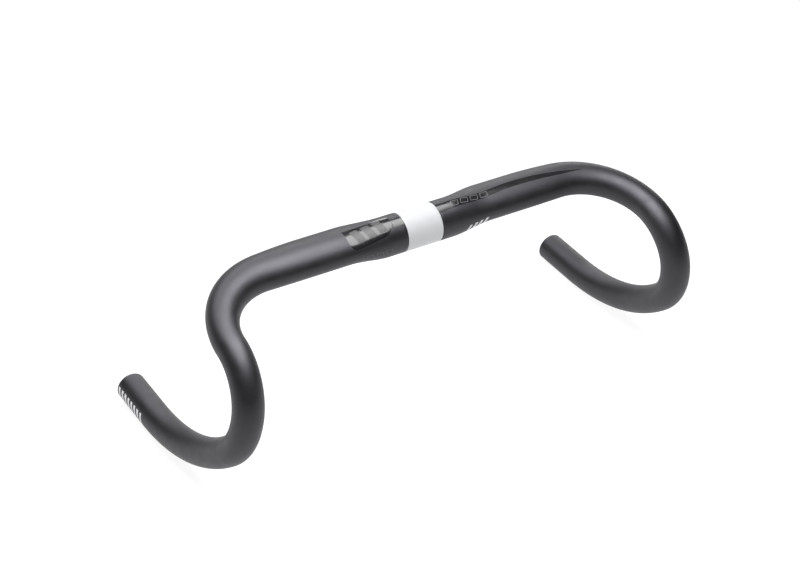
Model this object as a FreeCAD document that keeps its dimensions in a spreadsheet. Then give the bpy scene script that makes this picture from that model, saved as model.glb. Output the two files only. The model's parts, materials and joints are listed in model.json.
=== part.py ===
import FreeCAD, Part
import math
import os

import Sketcher
from FreeCAD import Placement, Rotation, Vector

# Drop handlebar for a road bicycle: a bare bar with no levers, tape or end plugs.
# Millimetres. The origin is the middle of the stem clamp zone, on its axis.
# +X runs along the clamp to the rider's left, -Y points forward and +Z up.
# The half bar at +X is built first, and its mirror image makes the other half.

os.makedirs("parts", exist_ok=True)
doc = FreeCAD.newDocument("DropHandlebar")

SIZES = {
    # clamp zone, and the band set into it
    "clamp_radius": 15.9,
    "clamp_half_length": 29.0,
    "band_half_width": 15.75,
    "band_depth": 0.15,
    # flattened tops
    "wing_start": 64.0,
    "wing_end": 96.0,
    "wing_half_chord": 18.6,
    "wing_half_height": 13.0,
    "wing_setback": 4.5,
    # bends and drops
    "hood_half_spacing": 190.0,
    "corner_radius": 56.5,
    "round_again": 3.0,
    "ramp_angle": 11.0,
    "flare_angle": 7.2,
    "hook_top_radius": 41.5,
    "hook_top_angle": 76.5,
    "hook_low_radius": 55.0,
    "hook_low_angle": 48.5,
    "hook_back_radius": 172.0,
    "end_length": 40.0,
    # tube
    "grip_radius": 11.9,
    "clamp_wall": 2.2,
    "wing_wall": 1.8,
    "grip_wall": 1.6,
    "end_edge": 0.4,
    # printed films on the tube, and the prints on top of a film
    "film_lift": 0.05,
    "print_lift": 0.09,
    "film_reach": 30.0,
    "outline_width": 0.5,
    # badge panel on one top, in plan
    "badge_inner": 25.5,
    "badge_outer": 64.5,
    "badge_front": 12.6,
    "badge_rear_inner": 2.3,
    "badge_rear_outer": 4.6,
    "badge_corner": 5.0,
    "badge_round": 10.0,
    # the stripe's short link between the band and the badge, in plan
    "link_front": 9.8,
    "link_rear": 1.6,
    # the stripe's edges where it leaves the band, in plan
    "stripe_front": 9.2,
    "stripe_rear": 1.0,
}

# Rows of slanted bars. first and pitch run along the bar, low and tall across it, lean is how far a
# bar's far side is shifted along, and climb is how much higher each bar is than the one before.
BARS = {
    "badge": dict(count=3, first=31.5, pitch=9.5, width=6.5, lean=3.0, low=-9.5, tall=11.0, climb=0.0),
    "stripe": dict(count=4, first=27.5, pitch=9.8, width=7.2, lean=2.0, low=-6.7, tall=4.8, climb=0.8),
    "front": dict(count=4, first=28.5, pitch=8.2, width=5.6, lean=2.2, low=-6.5, tall=6.0, climb=-0.4),
    "short": dict(count=4, first=39.5, pitch=5.2, width=2.4, lean=2.2, low=-7.8, tall=5.2, climb=0.5),
    "drop": dict(count=8, first=44.5, pitch=5.3, width=2.6, lean=2.5, low=-4.8, tall=9.6, climb=0.0),
}
for mark, numbers in BARS.items():
    SIZES.update({f"{mark}_{name}": number for name, number in numbers.items() if name != "count"})

# The stripe's two long edges in plan, between the band and the tip, as points that a smooth curve
# passes through.
STRIPE_REAR = [(43.5, -0.2), (90.5, 3.1), (136, -2.1)]
STRIPE_FRONT = [(44.3, -6.7), (82.5, -2.9), (122, -3.9)]
STRIPE_TIP = (155.6, -6.7)

# How near two measures are to count as the same.
NEAR = 0.01

sheet = doc.addObject("Spreadsheet::Sheet", "Sizes")
for row, (alias, value) in enumerate(SIZES.items(), start=1):
    sheet.set(f"A{row}", alias)
    sheet.set(f"B{row}", str(value))
    sheet.setAlias(f"B{row}", alias)
doc.recompute()


def size(alias):
    """The value that the sheet holds."""
    return float(sheet.get(alias))


def add(kind, label, **settings):
    """A document object with its properties set: text is an expression, anything else a value."""
    thing = doc.addObject(kind, label)
    for name, setting in settings.items():
        if isinstance(setting, str):
            thing.setExpression(name, setting)
        else:
            setattr(thing, name, setting)
    return thing


# ---- the centreline of the half bar at +X ----

OUTBOARD = Vector(1, 0, 0)
FORWARD = Vector(0, -1, 0)
UP = Vector(0, 0, 1)
RAMP = math.radians(size("ramp_angle"))
FLARE = math.radians(size("flare_angle"))
UP_THE_HOOK = UP * math.cos(FLARE) - OUTBOARD * math.sin(FLARE)
RAMP_DIRECTION = FORWARD * math.cos(RAMP) - UP_THE_HOOK * math.sin(RAMP)

CORNER_TURN = OUTBOARD.getAngle(RAMP_DIRECTION)
CORNER_SIDE = (RAMP_DIRECTION - OUTBOARD * RAMP_DIRECTION.dot(OUTBOARD)).normalize()
CORNER_START = size("hood_half_spacing") - size("corner_radius") * math.sin(CORNER_TURN)
CORNER_END = CORNER_START + size("corner_radius") * CORNER_TURN


def centreline(run):
    """Point and direction after a run from the middle of the bar, as far as the hook."""
    turn = max(run - CORNER_START, 0) / size("corner_radius")
    straight = OUTBOARD * min(run, CORNER_START)
    along = OUTBOARD * math.sin(turn) + CORNER_SIDE * (1 - math.cos(turn))
    direction = OUTBOARD * math.cos(turn) + CORNER_SIDE * math.sin(turn)
    return straight + along * size("corner_radius"), direction


HOOK_START, _ = centreline(CORNER_END)
HOOK_FRAME = Rotation(FORWARD, UP_THE_HOOK, FORWARD.cross(UP_THE_HOOK), "XYZ")
HOOK_TURNS = {
    "hook_top": "Sizes.hook_top_angle",
    "hook_low": "Sizes.hook_low_angle",
    "hook_back": "180 - Sizes.ramp_angle - Sizes.hook_top_angle - Sizes.hook_low_angle",
}
BACK_ANGLE = 180 - size("ramp_angle") - size("hook_top_angle") - size("hook_low_angle")
HOOK_DEGREES = [size("hook_top_angle"), size("hook_low_angle"), BACK_ANGLE]


def hook_arcs():
    """Centre, radius, first heading and turn of each bend in the hook's plane, and the last point.

    X is forward and Y up. The last bend leaves the tube level, and pointing backward.
    """
    arcs, point, heading = [], Vector(), -RAMP
    for bend, degrees in zip(HOOK_TURNS, HOOK_DEGREES):
        bend_radius, turn = size(f"{bend}_radius"), math.radians(degrees)
        centre = point + Vector(math.sin(heading), -math.cos(heading)) * bend_radius
        arcs.append((centre, bend_radius, heading, turn))
        heading -= turn
        point = centre + Vector(-math.sin(heading), math.cos(heading)) * bend_radius
    return arcs, point


HOOK_ARCS, HOOK_LAST = hook_arcs()
END_MIDDLE = HOOK_START + HOOK_FRAME.multVec(HOOK_LAST - Vector(size("end_length"), 0, 0))


def smooth_step(value, low, high):
    """0 below low and 1 above high, with no kink at either."""
    part = min(max((value - low) / (high - low), 0), 1)
    return part * part * (3 - 2 * part)


def wing_share(run):
    """How far the section has turned from the clamp's circle into the wing."""
    return smooth_step(run, size("clamp_half_length"), size("wing_start"))


def grip_share(run):
    """How far the section has turned from the wing into the round grip tube."""
    return smooth_step(run, size("wing_end"), CORNER_END - size("round_again"))


# ---- the tube's skins: the outer surface, the inner one, and the tops of films and prints ----

SKINS = {
    "outer": {"clamp": "0", "wing": "0", "grip": "0"},
    "inner": {"clamp": "-Sizes.clamp_wall", "wing": "-Sizes.wing_wall", "grip": "-Sizes.grip_wall"},
    "film": {"clamp": "Sizes.film_lift", "wing": "Sizes.film_lift", "grip": "Sizes.film_lift"},
    "print": {"clamp": "Sizes.print_lift", "wing": "Sizes.print_lift", "grip": "Sizes.print_lift"},
}


def radius(skin, zone, alias):
    """Expression for a half size of the tube, moved to the skin."""
    return f"(Sizes.{alias} + {SKINS[skin][zone]})"


def section(skin, number, run):
    """One ellipse of the tops or the corner, square to the centreline."""
    point, ahead = centreline(run)
    upward = (UP - ahead * UP.dot(ahead)).normalize()
    aft = upward.cross(ahead)
    wing, grip = wing_share(run), grip_share(run)
    centre = point + aft * size("wing_setback") * wing * (1 - grip)
    clamp_size = radius(skin, "clamp", "clamp_radius")
    grip_size = radius(skin, "grip", "grip_radius")

    def blend(wing_alias):
        top = f"{clamp_size} * {1 - wing:.6f} + {radius(skin, 'wing', wing_alias)} * {wing:.6f}"
        return f"({top}) * {1 - grip:.6f} + {grip_size} * {grip:.6f}"

    return add(
        "Part::Ellipse",
        f"{skin}_section_{number}",
        MajorRadius=blend("wing_half_chord"),
        MinorRadius=blend("wing_half_height"),
        Placement=Placement(centre, Rotation(aft, upward, ahead, "ZXY")),
    )


def spaced(first, last, count):
    """Even steps from first up to, but without, last."""
    return [first + (last - first) * step / count for step in range(count)]


STATIONS = (
    spaced(size("clamp_half_length"), size("wing_start"), 8)
    + spaced(size("wing_start"), size("wing_end"), 3)
    + spaced(size("wing_end"), CORNER_START, 4)
    + spaced(CORNER_START, CORNER_END, 12)
    + [CORNER_END]
)


def top_skin(skin):
    """The tops and the corner bend of the half at +X, as one smooth solid."""
    sections = [section(skin, number, run) for number, run in enumerate(STATIONS, start=1)]
    return add("Part::Loft", f"top_{skin}", Sections=sections, Solid=True, Ruled=False)


def middle_skin(skin):
    """The round clamp zone from side to side."""
    return add(
        "Part::Cylinder",
        f"middle_{skin}",
        Radius=radius(skin, "clamp", "clamp_radius"),
        Height="2 * Sizes.clamp_half_length",
        Placement=Placement(OUTBOARD * -size("clamp_half_length"), Rotation(UP, OUTBOARD)),
    )


# ---- the hook: a round pipe along arcs, drawn in its own leaning plane ----


def plane_of(body, role):
    return next(feature for feature in body.Origin.OriginFeatures if feature.Role == role)


def sketch_on(body, label, role):
    sketch = body.newObject("Sketcher::SketchObject", label)
    sketch.AttachmentSupport = [(plane_of(body, role), "")]
    sketch.MapMode = "FlatFace"
    return sketch


def measure(sketch, name, constraint, expression=None):
    """Add a sized constraint and bind it to the sheet."""
    index = sketch.addConstraint(constraint)
    sketch.renameConstraint(index, name)
    sketch.setExpression(f"Constraints.{name}", expression or f"Sizes.{name}")


def hook_path(body, skin, extra):
    """Three bends, each flatter than the last, and the level straight end, with every end tangent."""
    path = sketch_on(body, f"hook_path_{skin}", "XY_Plane")
    for number, (bend, turn_expression) in enumerate(HOOK_TURNS.items()):
        centre, bend_radius, heading, turn = HOOK_ARCS[number]
        begin = heading + math.pi / 2
        circle = Part.Circle(centre, UP, bend_radius)
        path.addGeometry(Part.ArcOfCircle(circle, begin - turn, begin))
        measure(path, f"{bend}_radius", Sketcher.Constraint("Radius", number, bend_radius))
        if number:
            path.addConstraint(Sketcher.Constraint("Tangent", number - 1, 1, number, 2))
        angle = Sketcher.Constraint("Angle", number, turn)
        measure(path, f"{bend}_turn", angle, f"({turn_expression}) * 1 deg")
    length = size("end_length") + extra
    line = path.addGeometry(Part.LineSegment(HOOK_LAST, HOOK_LAST - Vector(length, 0, 0)))
    path.addConstraint(Sketcher.Constraint("Tangent", line - 1, 1, line, 1))
    path.addConstraint(Sketcher.Constraint("Horizontal", line))
    path.addConstraint(Sketcher.Constraint("Coincident", 0, 2, -1, 1))
    straight = Sketcher.Constraint("Distance", line, length)
    measure(path, "end_length", straight, f"Sizes.end_length + {extra}")
    return path


def hook_skin(skin, extra=0):
    """The hook and the straight end of the half at +X, carried on by extra past the tube's end."""
    body = doc.addObject("PartDesign::Body", f"hook_{skin}")
    path = hook_path(body, skin, extra)
    ring = sketch_on(body, f"hook_ring_{skin}", "YZ_Plane")
    ring.AttachmentOffset = Placement(Vector(), Rotation(Vector(0, 1, 0), -size("ramp_angle")))
    ring.addGeometry(Part.Circle(Vector(), UP, size("grip_radius")))
    ring.addConstraint(Sketcher.Constraint("Coincident", 0, 3, -1, 1))
    tube_radius = Sketcher.Constraint("Radius", 0, size("grip_radius"))
    measure(ring, "tube_radius", tube_radius, radius(skin, "grip", "grip_radius"))
    doc.recompute()
    pipe = body.newObject("PartDesign::AdditivePipe", f"hook_pipe_{skin}")
    pipe.Profile = ring
    pipe.Spine = (path, ["Edge1", "Edge2", "Edge3", "Edge4"])
    body.Tip = pipe
    body.Placement = Placement(HOOK_START, HOOK_FRAME)
    return body


def mirrored(source, label=None):
    """The same piece on the other half of the bar."""
    return add("Part::Mirroring", label or f"{source.Label}_mirrored", Source=source, Normal=OUTBOARD)


def whole_skin(skin, extra=0):
    """One skin of the whole bar, as a solid."""
    halves = [top_skin(skin), hook_skin(skin, extra)]
    pieces = [middle_skin(skin)] + halves + [mirrored(half) for half in halves]
    return add("Part::MultiFuse", f"whole_{skin}", Shapes=pieces)


def tops_skin(skin):
    """One skin of the clamp zone and the top at +X, without the hook."""
    return add("Part::MultiFuse", f"tops_{skin}", Shapes=[middle_skin(skin), top_skin(skin)])


# ---- the clamp band: a thin sleeve set flush into the clamp zone ----


def clamp_band():
    body = doc.addObject("PartDesign::Body", "clamp_band")
    outline = sketch_on(body, "band_outline", "YZ_Plane")
    inside = size("clamp_radius") - size("band_depth")
    circles = (
        ("band_outside", size("clamp_radius"), "Sizes.clamp_radius"),
        ("band_inside", inside, "Sizes.clamp_radius - Sizes.band_depth"),
    )
    for name, circle_radius, expression in circles:
        index = outline.addGeometry(Part.Circle(Vector(), UP, circle_radius))
        outline.addConstraint(Sketcher.Constraint("Coincident", index, 3, -1, 1))
        measure(outline, name, Sketcher.Constraint("Radius", index, circle_radius), expression)
    doc.recompute()
    pad = body.newObject("PartDesign::Pad", "band_pad")
    pad.Profile = outline
    pad.Midplane = True
    pad.setExpression("Length", "2 * Sizes.band_half_width")
    body.Tip = pad
    return body


# ---- printed films: thin solids between two skins, inside an outline pushed through them ----


def badge_outline():
    """Four sides in plan: the rear one slants with the wing, and the front inner corner is round."""
    body = doc.addObject("PartDesign::Body", "badge_prism")
    outline = sketch_on(body, "badge_outline", "XY_Plane")
    corners = {
        "rear_outer": ("Sizes.badge_outer", "Sizes.badge_rear_outer"),
        "rear_inner": ("Sizes.badge_inner", "Sizes.badge_rear_inner"),
        "front_inner": ("Sizes.badge_inner", "-Sizes.badge_front"),
        "front_outer": ("Sizes.badge_outer", "-Sizes.badge_front"),
    }
    points = [
        Vector(size("badge_outer"), size("badge_rear_outer")),
        Vector(size("badge_inner"), size("badge_rear_inner")),
        Vector(size("badge_inner"), -size("badge_front")),
        Vector(size("badge_outer"), -size("badge_front")),
    ]
    for number, point in enumerate(points):
        outline.addGeometry(Part.LineSegment(point, points[(number + 1) % 4]))
    for number, (name, (along, across)) in enumerate(corners.items()):
        before = (number - 1) % 4
        outline.addConstraint(Sketcher.Constraint("Coincident", before, 2, number, 1))
        place = points[number]
        along_constraint = Sketcher.Constraint("DistanceX", -1, 1, number, 1, place.x)
        measure(outline, f"{name}_along", along_constraint, along)
        across_constraint = Sketcher.Constraint("DistanceY", -1, 1, number, 1, place.y)
        measure(outline, f"{name}_across", across_constraint, across)
    doc.recompute()
    pad = body.newObject("PartDesign::Pad", "badge_pad")
    pad.Profile = outline
    pad.setExpression("Length", "Sizes.film_reach")
    doc.recompute()
    rounded = pad
    for name, radius_alias, number in (("round", "badge_round", 2), ("corner", "badge_corner", 3)):
        upright = upright_edge(rounded.Shape, points[number])
        fillet = body.newObject("PartDesign::Fillet", f"badge_{name}_fillet")
        fillet.Base = (rounded, [upright])
        fillet.setExpression("Radius", f"Sizes.{radius_alias}")
        doc.recompute()
        rounded = fillet
    body.Tip = rounded
    return body


def upright_edge(shape, corner):
    """Name of the vertical edge above a corner of the plan."""
    for number, edge in enumerate(shape.Edges, start=1):
        middle = edge.CenterOfMass
        flat = Vector(middle.x - corner.x, middle.y - corner.y)
        if flat.Length < NEAR:
            return f"Edge{number}"
    raise RuntimeError("no upright edge at the corner")


def stripe_outline():
    """A long blade: it leaves the band, swells over the wing and ends in a point in the bend."""
    sketch = doc.addObject("Sketcher::SketchObject", "stripe_outline")
    rear_start = Vector(size("band_half_width"), -size("stripe_rear"))
    front_start = Vector(size("band_half_width"), -size("stripe_front"))
    tip = Vector(*STRIPE_TIP)
    for first, between in ((rear_start, STRIPE_REAR), (front_start, STRIPE_FRONT)):
        edge = Part.BSplineCurve()
        edge.interpolate([first] + [Vector(*point) for point in between] + [tip])
        sketch.addGeometry(edge)
    sketch.addGeometry(Part.LineSegment(front_start, rear_start))
    return add("Part::Extrusion", "stripe_prism", Base=sketch, Solid=True, LengthFwd="Sizes.film_reach")


def link_outline():
    """The short strip from the band to the badge."""
    return add(
        "Part::Box",
        "link_prism",
        Length="Sizes.badge_inner - Sizes.band_half_width",
        Width="Sizes.link_front - Sizes.link_rear",
        Height="Sizes.film_reach",
        Placement=Placement(Vector(size("band_half_width"), -size("link_front"), 0), Rotation()),
    )


def bar_prism(label, mark, number, inset=0.0):
    """One slanted bar, pushed up its own Z. inset makes it smaller all round."""
    along = f"(Sizes.{mark}_first + {number} * Sizes.{mark}_pitch + {inset})"
    far = f"({along} + Sizes.{mark}_lean)"
    low = f"(Sizes.{mark}_low + {number} * Sizes.{mark}_climb + {inset})"
    width = f"(Sizes.{mark}_width - 2 * {inset})"
    return add(
        "Part::Wedge",
        label,
        Xmin=along,
        Xmax=f"{along} + {width}",
        X2min=far,
        X2max=f"{far} + {width}",
        Ymin=low,
        Ymax=f"{low} + Sizes.{mark}_tall - 2 * {inset}",
        Zmin=0.0,
        Zmax="Sizes.film_reach",
        Z2min=0.0,
        Z2max="Sizes.film_reach",
    )


def bar_row(mark, placement=Placement(), outlined=False):
    """A row of slanted bars, solid or as outlines, pushed out along the placement's Z."""
    bars = []
    for number in range(BARS[mark]["count"]):
        bar = bar_prism(f"{mark}_bar_{number + 1}", mark, number)
        if outlined:
            core = bar_prism(f"{mark}_core_{number + 1}", mark, number, size("outline_width"))
            bar = add("Part::Cut", f"{mark}_outline_{number + 1}", Base=bar, Tool=core)
        bars.append(bar)
    return add("Part::Compound", f"{mark}_row", Links=bars, Placement=placement)


def film(label, outline, above, below, mirror=False):
    """The part of an outline's prism that lies over one skin and under another."""
    under = add("Part::Common", f"{label}_under", Base=outline, Tool=above)
    made = add("Part::Cut", f"{label}_blank" if mirror else label, Base=under, Tool=below)
    return mirrored(made, label) if mirror else made


def eased_ends(tube):
    """The tube with its two outer end edges rounded off."""
    doc.recompute()
    edges = [
        (number, size("end_edge"), size("end_edge"))
        for number, edge in enumerate(tube.Shape.Edges, start=1)
        if abs(edge.CenterOfMass.y - END_MIDDLE.y) < NEAR
        and abs(edge.Length - 2 * math.pi * size("grip_radius")) < NEAR
    ]
    return add("Part::Fillet", "handlebar_tube", Base=tube, Edges=edges)


# ---- the pieces ----

band = clamp_band()
outer = whole_skin("outer")
inner = whole_skin("inner", extra=1)
hollow = add("Part::Cut", "hollow_tube", Base=outer, Tool=inner)
tube = eased_ends(add("Part::Cut", "grooved_tube", Base=hollow, Tool=band))

film_top = whole_skin("film")
print_top = tops_skin("print")
badge = badge_outline()
link_blank = add("Part::Cut", "link_beside_badge", Base=link_outline(), Tool=badge)

# The front marks are drawn in the upright plane of X and Z, and the drop's in one along its axis.
FRONT_FACE = Placement(Vector(), Rotation(OUTBOARD, 90))
DROP_SIDE = Placement(Vector(END_MIDDLE.x, 0, END_MIDDLE.z), Rotation(-FORWARD, UP, OUTBOARD, "XYZ"))
front_rows = {
    "front": bar_row("front", FRONT_FACE, outlined=True),
    "short": bar_row("short", FRONT_FACE),
}
drop_left = film("drop_bars_left", bar_row("drop", DROP_SIDE), film_top, outer)

PIECES = [
    tube,
    band,
    film("badge_panel", badge, film_top, outer, mirror=True),
    film("badge_bars", bar_row("badge"), print_top, film_top, mirror=True),
    film("top_stripe", stripe_outline(), film_top, outer),
    film("stripe_link", link_blank, film_top, outer, mirror=True),
    film("stripe_outlines", bar_row("stripe", outlined=True), print_top, film_top),
    film("front_outlines", front_rows["front"], film_top, outer, mirror=True),
    film("front_bars", front_rows["short"], film_top, outer),
    drop_left,
    mirrored(drop_left, "drop_bars_right"),
]
doc.recompute()

for thing in doc.Objects:
    if {"Invalid", "Error"} & set(thing.State):
        raise RuntimeError(f"{thing.Label} could not be made: {thing.State}")
for piece in PIECES:
    if piece.Shape.isNull() or not piece.Shape.isValid() or not piece.Shape.Solids:
        raise RuntimeError(f"{piece.Label} has no valid solid")
for piece in PIECES:
    piece.Shape.exportStep(f"parts/{piece.Label}.step")
    print(piece.Label, len(piece.Shape.Solids), round(piece.Shape.Volume, 2))
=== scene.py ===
import json
import math

import bpy
import numpy as np
from mathutils import Matrix, Vector


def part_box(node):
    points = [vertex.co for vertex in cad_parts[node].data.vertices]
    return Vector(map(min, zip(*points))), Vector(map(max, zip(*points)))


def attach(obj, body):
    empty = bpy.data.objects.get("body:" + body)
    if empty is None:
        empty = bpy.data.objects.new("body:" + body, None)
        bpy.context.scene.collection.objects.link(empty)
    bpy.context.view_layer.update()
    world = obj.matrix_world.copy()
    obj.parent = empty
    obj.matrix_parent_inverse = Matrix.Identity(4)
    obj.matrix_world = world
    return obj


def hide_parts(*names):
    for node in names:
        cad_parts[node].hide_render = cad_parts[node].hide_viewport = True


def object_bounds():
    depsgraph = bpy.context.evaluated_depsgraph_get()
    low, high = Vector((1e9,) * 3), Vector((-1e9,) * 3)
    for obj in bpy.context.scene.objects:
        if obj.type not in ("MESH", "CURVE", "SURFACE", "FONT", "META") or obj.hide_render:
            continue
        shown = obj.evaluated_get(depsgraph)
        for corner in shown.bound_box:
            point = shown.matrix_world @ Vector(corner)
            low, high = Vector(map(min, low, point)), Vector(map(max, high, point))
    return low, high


# A drop handlebar. Its sizes are in millimetres, and MM turns them into the scene's metres. The
# camera, the floor and the lights are in metres. The half of the bar at +X is worked out, and the
# other half is its mirror image.

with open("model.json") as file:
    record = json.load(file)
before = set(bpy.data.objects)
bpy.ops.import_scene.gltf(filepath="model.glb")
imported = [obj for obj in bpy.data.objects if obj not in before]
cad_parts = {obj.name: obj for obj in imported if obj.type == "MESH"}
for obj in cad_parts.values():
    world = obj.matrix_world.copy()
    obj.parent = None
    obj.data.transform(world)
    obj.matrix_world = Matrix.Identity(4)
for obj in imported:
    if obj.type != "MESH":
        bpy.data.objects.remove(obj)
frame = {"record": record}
CAD_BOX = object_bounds()
MM = 0.001

MOUNTS = {mount["name"]: mount for mount in frame["record"]["mounts"]}


def mount_size(name, dimension):
    return MOUNTS[name]["dims"][dimension]


# ---- sizes ----

CLAMP_RADIUS = mount_size("stem_clamp", "r_mm")
CLAMP_HALF_LENGTH = mount_size("stem_clamp", "length_mm") / 2
GRIP_RADIUS = mount_size("drop_end_left", "r_mm")
BORE_RADIUS = mount_size("end_bore_left", "r_mm")
END_LENGTH = mount_size("end_bore_left", "length_mm")
HOOD_HALF_SPACING = MOUNTS["lever_clamp_left"]["pos_m"][0] / MM
BAND_HALF_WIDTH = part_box("clamp_band")[1].x / MM

BAND_DEPTH = 0.15
# The tops have their full oval from WING_START to WING_END, along the bar from its middle.
WING_START = 64.0
WING_END = 96.0
WING_HALF_CHORD = 18.6
WING_HALF_HEIGHT = 13.0
WING_SETBACK = 4.5
CORNER_RADIUS = 56.5
ROUND_AGAIN = 3.0
RAMP = math.radians(11.0)
FLARE = math.radians(7.2)
# The hook's three arcs, each with its radius and its turn, bring the tube round to level.
HOOK_TOP = (41.5, math.radians(76.5))
HOOK_LOW = (55.0, math.radians(48.5))
HOOK_BACK = (172.0, math.pi - RAMP - HOOK_TOP[1] - HOOK_LOW[1])
CLAMP_WALL = 2.2
WING_WALL = 1.8
END_EDGE = 0.4
BORE_EDGE = 0.2
# How far a film on the skin, and a print on a film, stand out from the skin.
FILM_LIFT = 0.05
PRINT_LIFT = 0.09

# ---- the centreline ----

OUTBOARD = np.array([1.0, 0.0, 0.0])
FORWARD = np.array([0.0, -1.0, 0.0])
UP = np.array([0.0, 0.0, 1.0])
UP_THE_HOOK = UP * math.cos(FLARE) - OUTBOARD * math.sin(FLARE)
RAMP_DIRECTION = FORWARD * math.cos(RAMP) - UP_THE_HOOK * math.sin(RAMP)
HOOK_AXLE = np.cross(UP_THE_HOOK, FORWARD)
NEVER_ZERO = 1e-9 * FORWARD


def unit(vector):
    return vector / np.linalg.norm(vector, axis=-1, keepdims=True)


CORNER_TURN = math.acos(OUTBOARD @ RAMP_DIRECTION)
CORNER_SIDE = unit(RAMP_DIRECTION - OUTBOARD * (OUTBOARD @ RAMP_DIRECTION))
CORNER_START = HOOD_HALF_SPACING - CORNER_RADIUS * math.sin(CORNER_TURN)
CORNER_END = CORNER_START + CORNER_RADIUS * CORNER_TURN


def bends():
    """Each bend as its start, length, radius, and the direction and inner side at its start."""
    rows = [(CORNER_START, CORNER_RADIUS * CORNER_TURN, CORNER_RADIUS, OUTBOARD, CORNER_SIDE)]
    start, heading = CORNER_END, -RAMP
    for radius, turn in (HOOK_TOP, HOOK_LOW, HOOK_BACK):
        ahead = FORWARD * math.cos(heading) + UP_THE_HOOK * math.sin(heading)
        side = FORWARD * math.sin(heading) - UP_THE_HOOK * math.cos(heading)
        rows.append((start, radius * turn, radius, ahead, side))
        start += radius * turn
        heading -= turn
    return rows, start


BENDS, HOOK_END = bends()
HALF_RUN = HOOK_END + END_LENGTH


def centreline(run):
    """Points and directions after each run from the middle of the bar.

    Each bend adds its share of the way and of the turn, and none before its start.
    """
    run = np.asarray(run, float)[..., None]
    point = OUTBOARD * np.minimum(run, CORNER_START)
    ahead = OUTBOARD + 0.0 * run
    for start, length, radius, begin, side in BENDS:
        turn = np.clip(run - start, 0.0, length) / radius
        point = point + (begin * np.sin(turn) + side * (1 - np.cos(turn))) * radius
        ahead = ahead + begin * (np.cos(turn) - 1) + side * np.sin(turn)
    return point + ahead * np.maximum(run - HOOK_END, 0.0), ahead


def upward_of(ahead):
    """The direction square to ahead that points up as far as it can."""
    return unit(UP - ahead * (ahead @ UP)[..., None] + NEVER_ZERO)


def frames(run):
    """Points of the centreline, and the two directions across the tube: aft and upward.

    The tube points straight down inside the hook, so there upward is carried round its axle.
    """
    point, ahead = centreline(run)
    _, last = centreline(CORNER_END)
    last_up = upward_of(last)
    along_axle, across = last_up @ HOOK_AXLE, last_up @ np.cross(HOOK_AXLE, last)
    in_hook = HOOK_AXLE * along_axle + np.cross(HOOK_AXLE, ahead) * across
    upward = np.where(np.asarray(run)[..., None] > CORNER_END, in_hook, upward_of(ahead))
    return point, np.cross(upward, ahead), upward


def smooth_step(value, low, high):
    part = np.clip((value - low) / (high - low), 0.0, 1.0)
    return part * part * (3 - 2 * part)


def surface(run, angle, lift=(0.0, 0.0, 0.0)):
    """Points of the tube's skin. lift moves the skin out at the clamp, the wing and the grip."""
    wing = smooth_step(run, CLAMP_HALF_LENGTH, WING_START)
    grip = smooth_step(run, WING_END, CORNER_END - ROUND_AGAIN)
    clamp_size, grip_size = CLAMP_RADIUS + lift[0], GRIP_RADIUS + lift[2]

    def half_size(wing_size):
        top = clamp_size * (1 - wing) + (wing_size + lift[1]) * wing
        return top * (1 - grip) + grip_size * grip

    point, aft, upward = frames(run)
    back = WING_SETBACK * wing * (1 - grip) + half_size(WING_HALF_CHORD) * np.cos(angle)
    rise = half_size(WING_HALF_HEIGHT) * np.sin(angle)
    return point + aft * back[..., None] + upward * rise[..., None]


# ---- meshes ----

MIRROR = np.array([-1.0, 1.0, 1.0])


def outward(points, faces):
    """The faces turned so that a closed mesh has its outsides out."""
    corners = points[np.array(faces)]
    first, second, third, fourth = (corners[:, corner] for corner in range(4))
    halves = np.cross(second - first, third - first) + np.cross(third - first, fourth - first)
    volume = (first * halves).sum()
    return faces if volume > 0 else [face[::-1] for face in faces]


def piece(name, points, faces, node, material):
    """A smooth-shaded closed mesh piece that stands for a CAD node."""
    mesh = bpy.data.meshes.new(name)
    mesh.from_pydata((points * MM).tolist(), [], outward(points, faces))
    mesh.update()
    made = bpy.data.objects.new(name, mesh)
    bpy.context.scene.collection.objects.link(made)
    mesh.materials.append(material)
    mesh.shade_smooth()
    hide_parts(node)
    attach(made, "root")
    return made


def join_rings(rings):
    """Points and four-sided faces through rings of equal count, the last joined to the first."""
    count = len(rings[0])
    faces = []
    for number in range(len(rings)):
        here, there = number * count, (number + 1) % len(rings) * count
        for step in range(count):
            turn = (step + 1) % count
            faces.append((here + step, there + step, there + turn, here + turn))
    return np.concatenate(rings), faces


AROUND = 112
ANGLES = np.arange(AROUND) * 2 * math.pi / AROUND
RING_STEP = 2.0
BORE_STEP = 4.0
EDGE_STEPS = 5


def ring(run, lift=(0.0, 0.0, 0.0)):
    """One ring of the skin. Below zero the run is on the mirrored half."""
    points = surface(np.full(AROUND, abs(run)), ANGLES, lift)
    return points * MIRROR if run < 0 else points


def even(first, last, step):
    return list(np.linspace(first, last, max(2, math.ceil((last - first) / step) + 1)))


def end_rings(sign):
    """The eased outer edge, the flat end and the bore's edge, from outside to inside."""
    made = []
    for step in range(1, EDGE_STEPS + 1):
        turn = step / EDGE_STEPS * math.pi / 2
        back, shrink = END_EDGE * (1 - math.sin(turn)), END_EDGE * (1 - math.cos(turn))
        made.append(ring(sign * (HALF_RUN - back), (0, 0, -shrink)))
    for step in range(EDGE_STEPS + 1):
        turn = step / EDGE_STEPS * math.pi / 2
        back, grow = BORE_EDGE * (1 - math.cos(turn)), BORE_EDGE * (1 - math.sin(turn))
        made.append(ring(sign * (HALF_RUN - back), (0, 0, BORE_RADIUS + grow - GRIP_RADIUS)))
    return made


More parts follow.
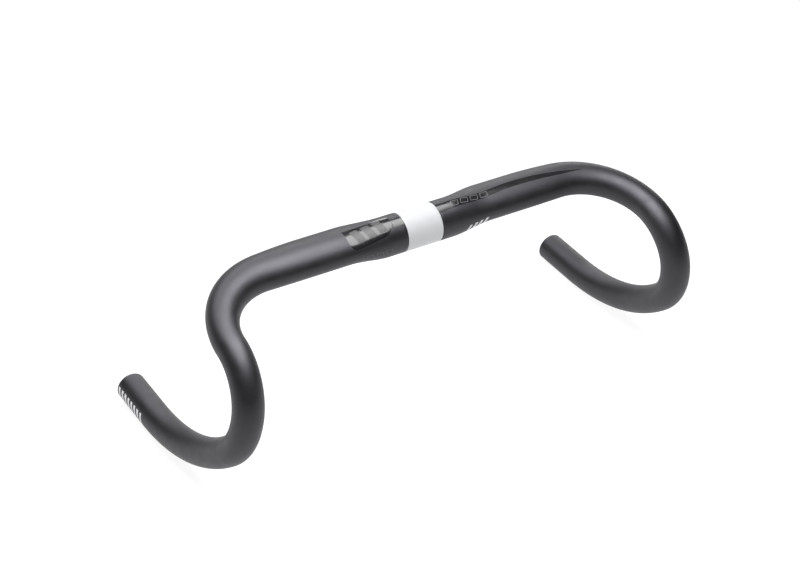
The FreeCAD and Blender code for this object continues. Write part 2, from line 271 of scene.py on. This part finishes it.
def tube_rings():
    """Rings along the outside, over one end, back through the bore and over the other end."""
    lip = BAND_HALF_WIDTH
    groove = (-BAND_DEPTH, 0, 0)
    half = even(lip, HALF_RUN - END_EDGE, RING_STEP)
    outside = [ring(-run) for run in reversed(half)]
    outside += [ring(run, groove) for run in even(-lip, lip, RING_STEP)]
    outside += [ring(run) for run in half]
    walls = (-CLAMP_WALL, -WING_WALL, BORE_RADIUS - GRIP_RADIUS)
    inner_half = even(0, HALF_RUN - BORE_EDGE, BORE_STEP)[:-1]
    bore = [ring(run, walls) for run in reversed(inner_half)]
    bore += [ring(-run, walls) for run in inner_half[1:]]
    return outside + end_rings(1) + bore + end_rings(-1)[::-1]


def band_rings():
    """The band as a ring of its own: outside, then back along its inside."""
    lip, edge = BAND_HALF_WIDTH, BAND_DEPTH / 3
    outside = [ring(-lip, (-edge, 0, 0))]
    outside += [ring(run) for run in even(-lip + edge, lip - edge, RING_STEP)]
    outside += [ring(lip, (-edge, 0, 0))]
    inside = [ring(run, (-BAND_DEPTH, 0, 0)) for run in even(-lip, lip, RING_STEP)]
    return outside + inside[::-1]


# ---- films: thin patches that lie on the skin ----

TOP, FRONT, SIDE = "top", "front", "side"
FIRST_ANGLE = {TOP: math.pi / 2, FRONT: math.pi, SIDE: 0.0}
SEEN_FROM = {TOP: (0, 1), FRONT: (0, 2), SIDE: (1, 2)}
LAYING_ROUNDS = 12
SMALL_STEP = 1e-4


def lay_on(marks, view, lift):
    """Points of the lifted skin that cover the marks, which are flat points in that view.

    From the side this is exact. Otherwise Newton's method finds each point's run and angle.
    """
    axes = SEEN_FROM[view]
    along = marks[..., 0]
    if view == SIDE:
        end, _ = centreline(HALF_RUN)
        run = HALF_RUN - (end[1] - along)
        angle = side_angle(marks[..., 1], lift)
        return surface(run, angle, (lift,) * 3)
    run, angle = along.copy(), np.full(along.shape, FIRST_ANGLE[view])
    for _ in range(LAYING_ROUNDS):
        here = surface(run, angle, (lift,) * 3)[..., axes]
        further = surface(run + SMALL_STEP, angle, (lift,) * 3)[..., axes]
        turned = surface(run, angle + SMALL_STEP, (lift,) * 3)[..., axes]
        by_run, by_angle = (further - here) / SMALL_STEP, (turned - here) / SMALL_STEP
        miss = marks - here
        area = by_run[..., 0] * by_angle[..., 1] - by_run[..., 1] * by_angle[..., 0]
        run = run + (miss[..., 0] * by_angle[..., 1] - miss[..., 1] * by_angle[..., 0]) / area
        angle = angle + (by_run[..., 0] * miss[..., 1] - by_run[..., 1] * miss[..., 0]) / area
    return surface(run, angle, (lift,) * 3)


def side_angle(height, lift):
    """Angle round the straight end at which its outboard skin is at a height above its axis."""
    _, aft, upward = frames(np.array([HALF_RUN]))
    aft, upward = aft[0], upward[0]
    level = np.arcsin(np.clip(height / (GRIP_RADIUS + lift), -1, 1))
    outboard, up = np.cos(level), np.sin(level)
    across = outboard * aft[0] + up * aft[2]
    rise = outboard * upward[0] + up * upward[2]
    return np.arctan2(rise, across)


def rims(index, closed):
    """The outline of a grid as loops of its points, with the grid on the same side of each."""
    if closed:
        return [index[:-1, -1], index[:-1, 0][::-1]]
    sides = (index[0, :-1], index[:-1, -1], index[-1, :0:-1], index[:0:-1, 0])
    return [np.concatenate(sides)]


def film_shell(grids, view, lift, base, closed):
    """Closed thin shells, one for each grid of flat points, with walls down to the skin.

    The last row of a closed grid joins the first one, so the shell is a band round a hole.
    """
    points, faces, offset = [], [], 0
    for grid in grids:
        rows, columns = grid.shape[:2]
        below = rows * columns
        points += [lay_on(grid, view, lift).reshape(-1, 3), lay_on(grid, view, base).reshape(-1, 3)]
        index = offset + np.arange(below).reshape(rows, columns)
        if closed:
            index = np.concatenate([index, index[:1]])
        near, far = index[:-1], index[1:]
        top = np.stack([near[:, :-1], near[:, 1:], far[:, 1:], far[:, :-1]], axis=-1).reshape(-1, 4)
        faces += top.tolist() + (top[:, ::-1] + below).tolist()
        for rim in rims(index, closed):
            after = np.roll(rim, -1)
            faces += np.stack([rim, rim + below, after + below, after], axis=-1).tolist()
        offset += 2 * below
    return np.concatenate(points), faces


FILM_SEAT = 0.02
FILM_EDGE = math.radians(40)


def film(name, grids, view, material, on_film=False, mirror=False, closed=False):
    """A film or print, seated a little into what is under it."""
    lift, base = (PRINT_LIFT, FILM_LIFT - FILM_SEAT) if on_film else (FILM_LIFT, -FILM_SEAT)
    points, faces = film_shell(grids, view, lift, base, closed)
    points = points * MIRROR if mirror else points
    made = piece(f"{name}_skin", points, faces, name, material)
    made.data.set_sharp_from_angle(angle=FILM_EDGE)


GRID_STEP = 1.0
OUTLINE_WIDTH = 0.5


def quad(corners):
    """Grid over a four-sided outline, given as low left, low right, high right, high left."""
    a, b, c, d = (np.array(corner, float) for corner in corners)
    wide = max(2, math.ceil(max(np.linalg.norm(b - a), np.linalg.norm(c - d)) / GRID_STEP) + 1)
    tall = max(2, math.ceil(max(np.linalg.norm(d - a), np.linalg.norm(c - b)) / GRID_STEP) + 1)
    u = np.linspace(0, 1, wide)[None, :, None]
    v = np.linspace(0, 1, tall)[:, None, None]
    return (a * (1 - u) + b * u) * (1 - v) + (d * (1 - u) + c * u) * v


def bar_corners(row, number, inset=0.0):
    first = row["first"] + number * row["pitch"] + inset
    low = row["low"] + number * row.get("climb", 0.0) + inset
    width, high = row["width"] - 2 * inset, low + row["tall"] - 2 * inset
    far = first + row["lean"]
    return [(first, low), (first + width, low), (far + width, high), (far, high)]


def solid_bars(row):
    return [quad(bar_corners(row, number)) for number in range(row["count"])]


def band_grid(outer, inner):
    """Rows round the strip between two four-sided outlines."""
    outer, inner = np.array(outer, float), np.array(inner, float)
    rows = []
    for side in range(4):
        edges = [(outline[side], outline[(side + 1) % 4]) for outline in (outer, inner)]
        steps = math.ceil(np.linalg.norm(edges[0][1] - edges[0][0]) / GRID_STEP)
        for share in np.arange(steps) / steps:
            rows.append([start + (end - start) * share for start, end in edges])
    return np.array(rows)


def outlined_bars(row):
    grids = []
    for number in range(row["count"]):
        inner = bar_corners(row, number, OUTLINE_WIDTH)
        grids.append(band_grid(bar_corners(row, number), inner))
    return grids


# Rows of slanted bars. (first, low) is the low corner of the first one: X and Y on the top, X and
# Z on the front, and Y and the height over the tube's axis on the drop ends. lean shifts a bar's
# high edge along the row, and climb shifts each bar from the one before it. All X are those of
# the half at +X, also for the films that are mirrored afterwards.
BADGE_BARS = dict(count=3, first=31.5, pitch=9.5, width=6.5, lean=3.0, low=-9.5, tall=11.0)
STRIPE_BARS = dict(count=4, first=27.5, pitch=9.8, width=7.2, lean=2.0, low=-6.7, tall=4.8, climb=0.8)
FRONT_BARS = dict(count=4, first=28.5, pitch=8.2, width=5.6, lean=2.2, low=-6.5, tall=6.0, climb=-0.4)
SHORT_BARS = dict(count=4, first=39.5, pitch=5.2, width=2.4, lean=2.2, low=-7.8, tall=5.2, climb=0.5)
DROP_BARS = dict(count=8, first=44.5, pitch=5.3, width=2.6, lean=2.5, low=-4.8, tall=9.6)

BADGE_INNER, BADGE_OUTER = 25.5, 64.5
BADGE_FRONT, BADGE_REAR_INNER, BADGE_REAR_OUTER = -12.6, 2.3, 4.6
BADGE_ROUND, BADGE_CORNER = 10.0, 5.0
BADGE_COLUMNS, BADGE_ROWS = 61, 25
LINK_FRONT, LINK_REAR = -9.8, -1.6
# The stripe's two long edges, as X and Y of points on them. Both end at its tip.
STRIPE_TIP = (155.6, -6.7)
STRIPE_COLUMNS, STRIPE_ROWS = 150, 11
STRIPE_REAR = [(BAND_HALF_WIDTH, -1.0), (43.5, -0.2), (90.5, 3.1), (136, -2.1), STRIPE_TIP]
STRIPE_FRONT = [(BAND_HALF_WIDTH, -9.2), (44.3, -6.7), (82.5, -2.9), (122, -3.9), STRIPE_TIP]


def badge_front(along):
    """The badge's front edge, with its two rounded corners."""
    inner, outer = along - BADGE_INNER, BADGE_OUTER - along
    if inner < BADGE_ROUND:
        return BADGE_FRONT + BADGE_ROUND - math.sqrt(BADGE_ROUND**2 - (BADGE_ROUND - inner) ** 2)
    if outer < BADGE_CORNER:
        return BADGE_FRONT + BADGE_CORNER - math.sqrt(BADGE_CORNER**2 - (BADGE_CORNER - outer) ** 2)
    return BADGE_FRONT


def badge_grid():
    """Columns across the badge, closer together where its corners are round."""
    width = BADGE_OUTER - BADGE_INNER
    shares = (1 - np.cos(np.linspace(0, math.pi, BADGE_COLUMNS))) / 2
    columns = []
    for share in shares:
        along = BADGE_INNER + width * share
        front = badge_front(along)
        rear = BADGE_REAR_INNER + (BADGE_REAR_OUTER - BADGE_REAR_INNER) * share
        across = np.linspace(front, rear, BADGE_ROWS)
        columns.append(np.stack([np.full(across.shape, along), across], axis=-1))
    return [np.array(columns)]


def spline(points, count):
    """A smooth curve through the points, evenly divided by its chord lengths."""
    points = np.array(points, float)
    chords = np.concatenate([[0], np.cumsum(np.linalg.norm(np.diff(points, axis=0), axis=1))])
    size = len(points)
    steps = np.diff(chords)
    matrix, right = np.zeros((size, size)), np.zeros((size, 2))
    matrix[0, :2], matrix[-1, -2:] = (2, 1), (1, 2)
    right[0] = 3 * (points[1] - points[0]) / steps[0]
    right[-1] = 3 * (points[-1] - points[-2]) / steps[-1]
    for row in range(1, size - 1):
        before, after = steps[row - 1], steps[row]
        matrix[row, row - 1:row + 2] = (after, 2 * (before + after), before)
        slope_in = (points[row] - points[row - 1]) / before * after
        slope_out = (points[row + 1] - points[row]) / after * before
        right[row] = 3 * (slope_in + slope_out)
    slopes = np.linalg.solve(matrix, right)
    made = []
    for place in np.linspace(0, chords[-1], count):
        part = min(int(np.searchsorted(chords, place, side="right")) - 1, size - 2)
        t, step = (place - chords[part]) / steps[part], steps[part]
        point = (2 * t**3 - 3 * t**2 + 1) * points[part] + (3 * t**2 - 2 * t**3) * points[part + 1]
        point = point + (t**3 - 2 * t**2 + t) * step * slopes[part]
        made.append(point + (t**3 - t**2) * step * slopes[part + 1])
    return np.array(made)


def stripe_grid():
    """Columns between the stripe's two long edges, which meet at its tip."""
    rear, front = spline(STRIPE_REAR, STRIPE_COLUMNS), spline(STRIPE_FRONT, STRIPE_COLUMNS)
    across = np.linspace(0, 1, STRIPE_ROWS)[None, :, None]
    grid = front[:, None] * (1 - across) + rear[:, None] * across
    return [grid[:-1]]


def link_grid():
    near, far, low, high = BAND_HALF_WIDTH, BADGE_INNER, LINK_FRONT, LINK_REAR
    return [quad([(near, low), (far, low), (far, high), (near, high)])]


# ---- materials ----

# The part of a noise's range where nearly all of its values lie.
NOISE_LOW, NOISE_HIGH = 0.3, 0.7


def shader(name, **values):
    """A material with its Principled shader's plain values set."""
    material = bpy.data.materials.new(name)
    material.use_nodes = True
    surface_node = material.node_tree.nodes["Principled BSDF"]
    for socket, value in values.items():
        surface_node.inputs[socket.replace("_", " ")].default_value = value
    return material, material.node_tree, surface_node


def noise(tree, feature, detail=2.0):
    """Noise with features of about that many millimetres."""
    place = tree.nodes.new("ShaderNodeTexCoord")
    texture = tree.nodes.new("ShaderNodeTexNoise")
    texture.inputs["Scale"].default_value = 1 / (feature * MM)
    texture.inputs["Detail"].default_value = detail
    tree.links.new(place.outputs["Object"], texture.inputs["Vector"])
    return texture.outputs["Fac"]


def spread(tree, source, low, high):
    """Map the middle of a noise to the range from low to high."""
    change = tree.nodes.new("ShaderNodeMapRange")
    change.inputs["From Min"].default_value = NOISE_LOW
    change.inputs["From Max"].default_value = NOISE_HIGH
    change.inputs["To Min"].default_value = low
    change.inputs["To Max"].default_value = high
    tree.links.new(source, change.inputs["Value"])
    return change.outputs["Result"]


def paint(tree, skin, source, dark, light):
    """Base colour between dark and light, by a noise."""
    mix = tree.nodes.new("ShaderNodeValToRGB")
    low, high = mix.color_ramp.elements
    low.position, low.color = NOISE_LOW, (*dark, 1)
    high.position, high.color = NOISE_HIGH, (*light, 1)
    tree.links.new(source, mix.inputs["Fac"])
    tree.links.new(mix.outputs["Color"], skin.inputs["Base Color"])


def bump(tree, source, height, below=None):
    """Bump of that many millimetres, over another bump if one is given."""
    made = tree.nodes.new("ShaderNodeBump")
    made.inputs["Distance"].default_value = height * MM
    made.inputs["Strength"].default_value = 1.0
    tree.links.new(source, made.inputs["Height"])
    if below:
        tree.links.new(below, made.inputs["Normal"])
    return made.outputs["Normal"]


def satin_tube():
    """Bead-blasted tube under satin charcoal lacquer: fine grain, faint cloudiness in the sheen."""
    material, tree, skin = shader("satin_charcoal", IOR=1.60, Specular_Tint=(0.92, 0.90, 1.0, 1))
    cloud = noise(tree, feature=9.0, detail=3.0)
    grain = noise(tree, feature=0.45)
    paint(tree, skin, cloud, dark=(0.0015, 0.0015, 0.0017), light=(0.0030, 0.0029, 0.0032))
    tree.links.new(spread(tree, cloud, low=0.47, high=0.53), skin.inputs["Roughness"])
    fine = bump(tree, grain, height=0.012)
    wavy = bump(tree, noise(tree, feature=6.0), height=0.01, below=fine)
    tree.links.new(wavy, skin.inputs["Normal"])
    return material


def white_band():
    """Matt white band with a faint paper-like tooth, on a mid-grey base with a faint, even emission
    that is painted light: it lifts the band's shaded lower side towards its lit top.
    """
    # The emission is painted light: an even glow that stands in for fill light on the band's shaded
    # side. The mid-grey base colour below is kept low to make up for it.
    painted_fill_glow = dict(Emission_Color=(0.97, 0.98, 1.0, 1), Emission_Strength=0.35)
    material, tree, skin = shader("matt_white_painted_glow", IOR=1.45, **painted_fill_glow)
    cloud = noise(tree, feature=7.0)
    tooth = noise(tree, feature=0.5, detail=3.0)
    paint(tree, skin, cloud, dark=(0.175, 0.178, 0.184), light=(0.190, 0.193, 0.200))
    tree.links.new(spread(tree, tooth, low=0.5, high=0.6), skin.inputs["Roughness"])
    tree.links.new(bump(tree, tooth, height=0.008), skin.inputs["Normal"])
    return material


def gloss_film():
    """Gloss black film with the slight orange peel of a lacquered decal."""
    material, tree, skin = shader("gloss_black", IOR=1.5)
    cloud = noise(tree, feature=12.0)
    smear = noise(tree, feature=5.0)
    peel = noise(tree, feature=2.2, detail=1.0)
    paint(tree, skin, cloud, dark=(0.007, 0.007, 0.008), light=(0.010, 0.010, 0.011))
    tree.links.new(spread(tree, smear, low=0.17, high=0.23), skin.inputs["Roughness"])
    tree.links.new(bump(tree, peel, height=0.004), skin.inputs["Normal"])
    return material


def print_ink(name, dark, light, smooth, rough):
    """Screen-printed ink: nearly even colour and a slightly grainy surface."""
    material, tree, skin = shader(name, IOR=1.48)
    cloud = noise(tree, feature=3.0)
    grain = noise(tree, feature=0.35)
    paint(tree, skin, cloud, dark, light)
    tree.links.new(spread(tree, grain, smooth, rough), skin.inputs["Roughness"])
    tree.links.new(bump(tree, grain, height=0.004), skin.inputs["Normal"])
    return material


# ---- the object ----

TUBE_SKIN = satin_tube()
BAND_SKIN = white_band()
GLOSS = gloss_film()
BADGE_INK = print_ink(
    "badge_grey_ink", dark=(0.020, 0.020, 0.022), light=(0.028, 0.028, 0.030), smooth=0.42, rough=0.50
)
OUTLINE_INK = print_ink(
    "outline_grey_ink", dark=(0.055, 0.055, 0.06), light=(0.07, 0.07, 0.075), smooth=0.40, rough=0.50
)
WHITE_INK = print_ink(
    "white_ink", dark=(0.72, 0.73, 0.75), light=(0.80, 0.81, 0.83), smooth=0.38, rough=0.48
)

tube_points, tube_faces = join_rings(tube_rings())
piece("tube_skin", tube_points, tube_faces, "handlebar_tube", TUBE_SKIN)
band_points, band_faces = join_rings(band_rings())
piece("band_skin", band_points, band_faces, "clamp_band", BAND_SKIN)

film("badge_panel", badge_grid(), TOP, GLOSS, mirror=True)
film("badge_bars", solid_bars(BADGE_BARS), TOP, BADGE_INK, on_film=True, mirror=True)
film("top_stripe", stripe_grid(), TOP, GLOSS)
film("stripe_link", link_grid(), TOP, GLOSS, mirror=True)
stripe_outlines = outlined_bars(STRIPE_BARS)
film("stripe_outlines", stripe_outlines, TOP, OUTLINE_INK, on_film=True, closed=True)
front_outlines = outlined_bars(FRONT_BARS)
film("front_outlines", front_outlines, FRONT, OUTLINE_INK, mirror=True, closed=True)
film("front_bars", solid_bars(SHORT_BARS), FRONT, WHITE_INK)
film("drop_bars_left", solid_bars(DROP_BARS), SIDE, WHITE_INK)
film("drop_bars_right", solid_bars(DROP_BARS), SIDE, WHITE_INK, mirror=True)

# ---- camera, floor and lights ----

CAMERA_AIM = Vector((-0.0229, -0.0169, -0.0376))
CAMERA_AZIMUTH = math.radians(-33.64)
CAMERA_ELEVATION = math.radians(35.44)
CAMERA_ROLL = math.radians(2.82)
CAMERA_DISTANCE = 1.51
CAMERA_LENS = 87.624
CAMERA_SENSOR = 36.0
FLOOR_REACH = 4.0
SURROUNDINGS, BACKDROP = 0.02, 1.0


def camera():
    """A camera in front of the bar, above it and to the rider's right, rolled a little."""
    lens = bpy.data.cameras.new("camera")
    lens.sensor_width = CAMERA_SENSOR
    lens.lens = CAMERA_LENS
    made = bpy.data.objects.new("camera", lens)
    bpy.context.scene.collection.objects.link(made)
    right = Vector((math.cos(CAMERA_AZIMUTH), math.sin(CAMERA_AZIMUTH), 0))
    level = Vector((math.sin(CAMERA_AZIMUTH), -math.cos(CAMERA_AZIMUTH), 0))
    back = level * math.cos(CAMERA_ELEVATION) + Vector((0, 0, math.sin(CAMERA_ELEVATION)))
    above = back.cross(right)
    rolled_right = right * math.cos(CAMERA_ROLL) + above * math.sin(CAMERA_ROLL)
    rolled_above = above * math.cos(CAMERA_ROLL) - right * math.sin(CAMERA_ROLL)
    turn = Matrix((rolled_right, rolled_above, back)).transposed()
    made.matrix_world = Matrix.Translation(CAMERA_AIM + back * CAMERA_DISTANCE) @ turn.to_4x4()
    bpy.context.scene.camera = made


def floor():
    """A pale, glowing floor at the object's lowest point, so that it reads as white."""
    mesh = bpy.data.meshes.new("floor")
    signs = ((-1, -1), (1, -1), (1, 1), (-1, 1))
    corners = [(x * FLOOR_REACH, y * FLOOR_REACH, CAD_BOX[0][2]) for x, y in signs]
    mesh.from_pydata(corners, [], [(0, 1, 2, 3)])
    made = bpy.data.objects.new("floor", mesh)
    bpy.context.scene.collection.objects.link(made)
    material, _, _ = shader(
        "pale_floor",
        Base_Color=(0.15, 0.15, 0.15, 1),
        Roughness=0.9,
        Emission_Color=(1, 1, 1, 1),
        Emission_Strength=0.92,
    )
    mesh.materials.append(material)


def softbox(name, middle, lean, size, radiance):
    """A soft light that shines down, leaned by degrees about +X and +Y. Sizes are in metres."""
    light = bpy.data.lights.new(name, "AREA")
    light.shape = "RECTANGLE"
    light.size, light.size_y = size
    light.energy = radiance * math.pi * size[0] * size[1]
    made = bpy.data.objects.new(name, light)
    bpy.context.scene.collection.objects.link(made)
    made.location = middle
    made.rotation_euler = (math.radians(lean[0]), math.radians(lean[1]), 0)
    made.visible_camera = False


def studio():
    """Two soft boxes in a dark room, whose backdrop is white to the camera alone."""
    world = bpy.data.worlds.new("studio")
    world.use_nodes = True
    tree = world.node_tree
    background = tree.nodes["Background"]
    background.inputs["Color"].default_value = (1, 1, 1, 1)
    seen = tree.nodes.new("ShaderNodeLightPath")
    level = tree.nodes.new("ShaderNodeMapRange")
    level.inputs["To Min"].default_value = SURROUNDINGS
    level.inputs["To Max"].default_value = BACKDROP
    tree.links.new(seen.outputs["Is Camera Ray"], level.inputs["Value"])
    tree.links.new(level.outputs["Result"], background.inputs["Strength"])
    bpy.context.scene.world = world
    softbox(
        "overhead",
        middle=(-0.076, -0.156, 0.737),
        lean=(-39, 10),
        size=(0.818, 0.902),
        radiance=10.3,
    )
    softbox(
        "behind",
        middle=(0.514, 1.059, 0.501),
        lean=(6, 19),
        size=(2.906, 0.372),
        radiance=9.3,
    )
    bpy.context.scene.view_settings.view_transform = "Standard"


camera()
floor()
studio()

bpy.context.view_layer.update()
